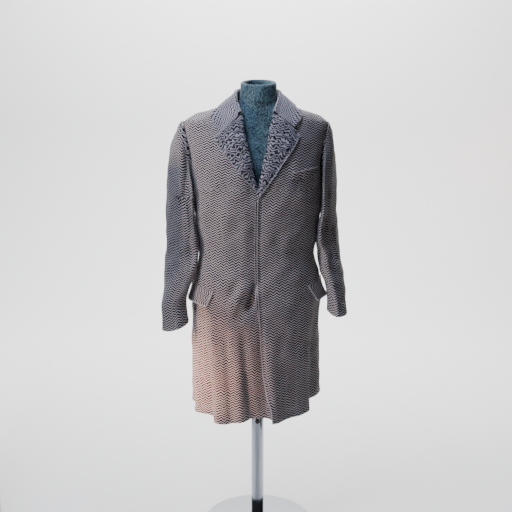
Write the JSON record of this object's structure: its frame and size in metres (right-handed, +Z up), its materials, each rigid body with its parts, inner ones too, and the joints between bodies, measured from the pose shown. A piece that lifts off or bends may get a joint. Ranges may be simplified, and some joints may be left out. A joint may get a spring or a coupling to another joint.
{
  "type": "overcoat on dress form",
  "caption": "Knee-length herringbone wool overcoat with notched lapels, a fly front and flap pockets, worn by a limbless dress form on a pole stand with a round base.",
  "frame": {"origin": "middle of the base's underside, on the pole's axis", "axes": "+Z up, the coat's front faces -Y, +X is the wearer's left"},
  "size_m": [0.6068, 0.36, 1.5103],
  "materials": {
    "coat_cloth": "napped wool",
    "form_jersey": "matt jersey",
    "stand_metal": "polished",
    "knob_plastic": "matt"
  },
  "bodies": {
    "root": {"front_left": "coat_cloth", "front_right": "coat_cloth", "back": "coat_cloth", "lapel_left": "coat_cloth", "lapel_right": "coat_cloth", "collar": "coat_cloth", "sleeve_left_top": "coat_cloth", "sleeve_left_under": "coat_cloth", "sleeve_right_top": "coat_cloth", "sleeve_right_under": "coat_cloth", "flap_left": "coat_cloth", "flap_right": "coat_cloth", "breast_welt": "coat_cloth", "fly_placket": "coat_cloth", "form_torso": "form_jersey", "stand_pole": "stand_metal", "stand_base": "stand_metal", "stand_knob": "knob_plastic"}
  },
  "joints": []
}
